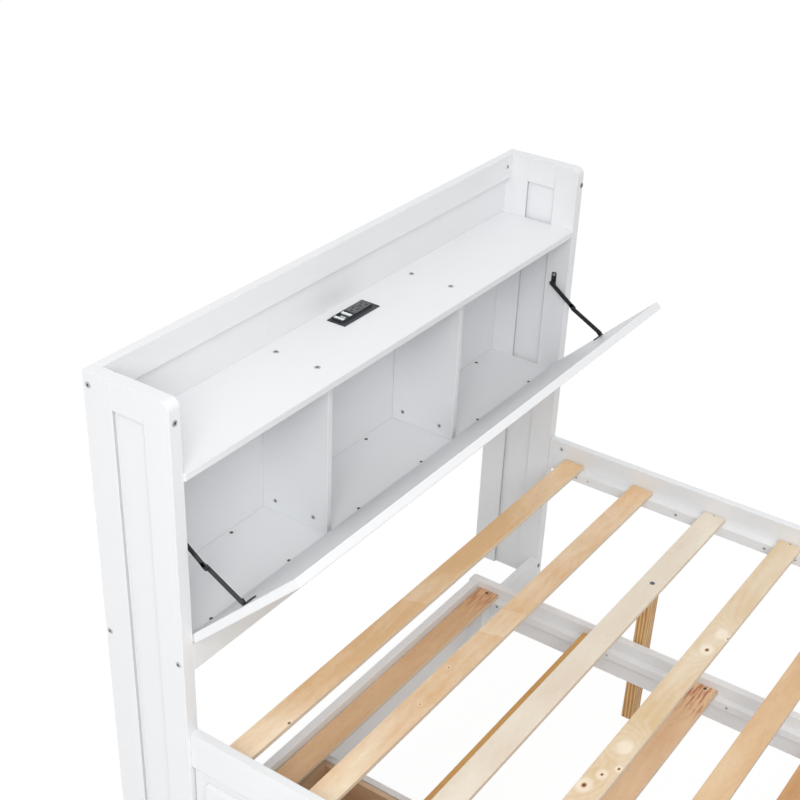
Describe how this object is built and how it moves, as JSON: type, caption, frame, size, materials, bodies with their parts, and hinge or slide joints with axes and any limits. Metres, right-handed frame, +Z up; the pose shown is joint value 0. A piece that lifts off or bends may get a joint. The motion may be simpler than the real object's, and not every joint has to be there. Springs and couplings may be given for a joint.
{
  "type": "bed with storage headboard",
  "caption": "Full-size slatted bed frame with a cabinet headboard, a drop-down door on folding stays, and a pull-out trundle with drawers underneath.",
  "frame": {"origin": "on the floor, under the middle of the bed's outline", "axes": "+Z up, +Y toward the back of the headboard, -X toward the side the trundle pulls out on"},
  "size_m": [1.44, 2.145, 1.197],
  "materials": {
    "white_board": "satin white paint on pine and board",
    "slat_wood": "bare light plywood and pine",
    "pine": "bare planed pine",
    "drawer_wood": "bare plywood",
    "hinge_steel": "zinc-plated steel",
    "black_steel": "black lacquered steel",
    "black_plastic": "moulded black plastic",
    "white_plastic": "moulded white plastic",
    "grey_nylon": "moulded grey nylon"
  },
  "bodies": {
    "frame": {"left_back_stile": "white_board", "left_front_stile": "white_board", "left_side_panel": "white_board", "right_back_stile": "white_board", "right_front_stile": "white_board", "right_side_panel": "white_board", "back_top_rail": "white_board", "back_lower_rail": "white_board", "back_panel": "white_board", "cabinet_floor": "white_board", "left_divider": "white_board", "right_divider": "white_board", "front_lower_rail": "white_board", "floor_stretcher": "white_board", "shelf": "white_board", "outlet_housing": "black_plastic", "outlet_port_face": "white_plastic", "hinge_rail_leaf": "hinge_steel", "hinge_pin": "hinge_steel", "left_stay_side_plate": "black_steel", "right_stay_side_plate": "black_steel", "left_side_rail": "white_board", "left_slat_ledger": "white_board", "right_side_rail": "white_board", "right_slat_ledger": "white_board", "foot_board": "white_board", "slat_1": "slat_wood", "slat_2": "slat_wood", "slat_3": "slat_wood", "slat_4": "slat_wood", "slat_5": "slat_wood", "slat_6": "slat_wood", "slat_7": "slat_wood", "slat_8": "slat_wood", "slat_9": "slat_wood", "slat_10": "slat_wood", "support_leg": "pine"},
    "door": {"door_panel": "white_board", "hinge_door_leaf": "hinge_steel", "left_stay_door_bracket": "black_steel", "right_stay_door_bracket": "black_steel"},
    "left_upper_arm": {"left_upper_stay_arm": "black_steel"},
    "right_upper_arm": {"right_upper_stay_arm": "black_steel"},
    "left_lower_arm": {"left_lower_stay_arm": "black_steel"},
    "right_lower_arm": {"right_lower_stay_arm": "black_steel"},
    "trundle": {"trundle_far_rail": "white_board", "trundle_slat_deck": "slat_wood", "trundle_head_board": "white_board", "trundle_foot_board": "white_board", "drawer_bay": "white_board"},
    "head_near_wheel": {"head_near_wheel": "grey_nylon"},
    "head_far_wheel": {"head_far_wheel": "grey_nylon"},
    "foot_near_wheel": {"foot_near_wheel": "grey_nylon"},
    "foot_far_wheel": {"foot_far_wheel": "grey_nylon"},
    "drawer_1": {"drawer_box_1": "drawer_wood", "drawer_front_1": "white_board"},
    "drawer_2": {"drawer_box_2": "drawer_wood", "drawer_front_2": "white_board"},
    "drawer_3": {"drawer_box_3": "drawer_wood", "drawer_front_3": "white_board"}
  },
  "joints": [
    {"name": "door_swing", "type": "hinge", "parent": "frame", "child": "door", "pos_m": [0, 0.8725, 0.6668], "axis": [-1, 0, 0], "range_deg": [0, 45.4]},
    {"name": "left_upper_arm_turn", "type": "hinge", "parent": "frame", "child": "left_upper_arm", "pos_m": [-0.6805, 0.9088, 0.90121], "axis": [1, 0, 0], "range_deg": [0, 122.4]},
    {"name": "right_upper_arm_turn", "type": "hinge", "parent": "frame", "child": "right_upper_arm", "pos_m": [0.6805, 0.9088, 0.90121], "axis": [1, 0, 0], "range_deg": [0, 122.4]},
    {"name": "left_lower_arm_turn", "type": "hinge", "parent": "door", "child": "left_lower_arm", "pos_m": [-0.677, 0.76118, 0.81169], "axis": [1, 0, 0], "range_deg": [0, 32.6]},
    {"name": "right_lower_arm_turn", "type": "hinge", "parent": "door", "child": "right_lower_arm", "pos_m": [0.677, 0.76118, 0.81169], "axis": [1, 0, 0], "range_deg": [0, 32.6]},
    {"name": "trundle_slide", "type": "slide", "parent": "frame", "child": "trundle", "axis": [-1, 0, 0], "range_m": [0, 1]},
    {"name": "head_near_wheel_spin", "type": "hinge", "parent": "trundle", "child": "head_near_wheel", "pos_m": [-0.65, 0.8275, 0.0175], "axis": [0, -1, 0], "continuous": true},
    {"name": "head_far_wheel_spin", "type": "hinge", "parent": "trundle", "child": "head_far_wheel", "pos_m": [0.276, 0.8275, 0.0175], "axis": [0, -1, 0], "continuous": true},
    {"name": "foot_near_wheel_spin", "type": "hinge", "parent": "trundle", "child": "foot_near_wheel", "pos_m": [-0.65, -1.0025, 0.0175], "axis": [0, -1, 0], "continuous": true},
    {"name": "foot_far_wheel_spin", "type": "hinge", "parent": "trundle", "child": "foot_far_wheel", "pos_m": [0.276, -1.0025, 0.0175], "axis": [0, -1, 0], "continuous": true},
    {"name": "drawer_1_slide", "type": "slide", "parent": "trundle", "child": "drawer_1", "axis": [-1, 0, 0], "range_m": [0, 0.28]},
    {"name": "drawer_2_slide", "type": "slide", "parent": "trundle", "child": "drawer_2", "axis": [-1, 0, 0], "range_m": [0, 0.28]},
    {"name": "drawer_3_slide", "type": "slide", "parent": "trundle", "child": "drawer_3", "axis": [-1, 0, 0], "range_m": [0, 0.28]}
  ],
  "couplings": [
    {"joint": "left_upper_arm_turn", "follows": "door_swing", "ratio": 2.695},
    {"joint": "right_upper_arm_turn", "follows": "door_swing", "ratio": 2.695},
    {"joint": "left_lower_arm_turn", "follows": "door_swing", "ratio": 0.71598},
    {"joint": "right_lower_arm_turn", "follows": "door_swing", "ratio": 0.71598},
    {"joint": "head_near_wheel_spin", "follows": "trundle_slide", "rad_per_m": 57.143},
    {"joint": "head_far_wheel_spin", "follows": "trundle_slide", "rad_per_m": 57.143},
    {"joint": "foot_near_wheel_spin", "follows": "trundle_slide", "rad_per_m": 57.143},
    {"joint": "foot_far_wheel_spin", "follows": "trundle_slide", "rad_per_m": 57.143}
  ]
}
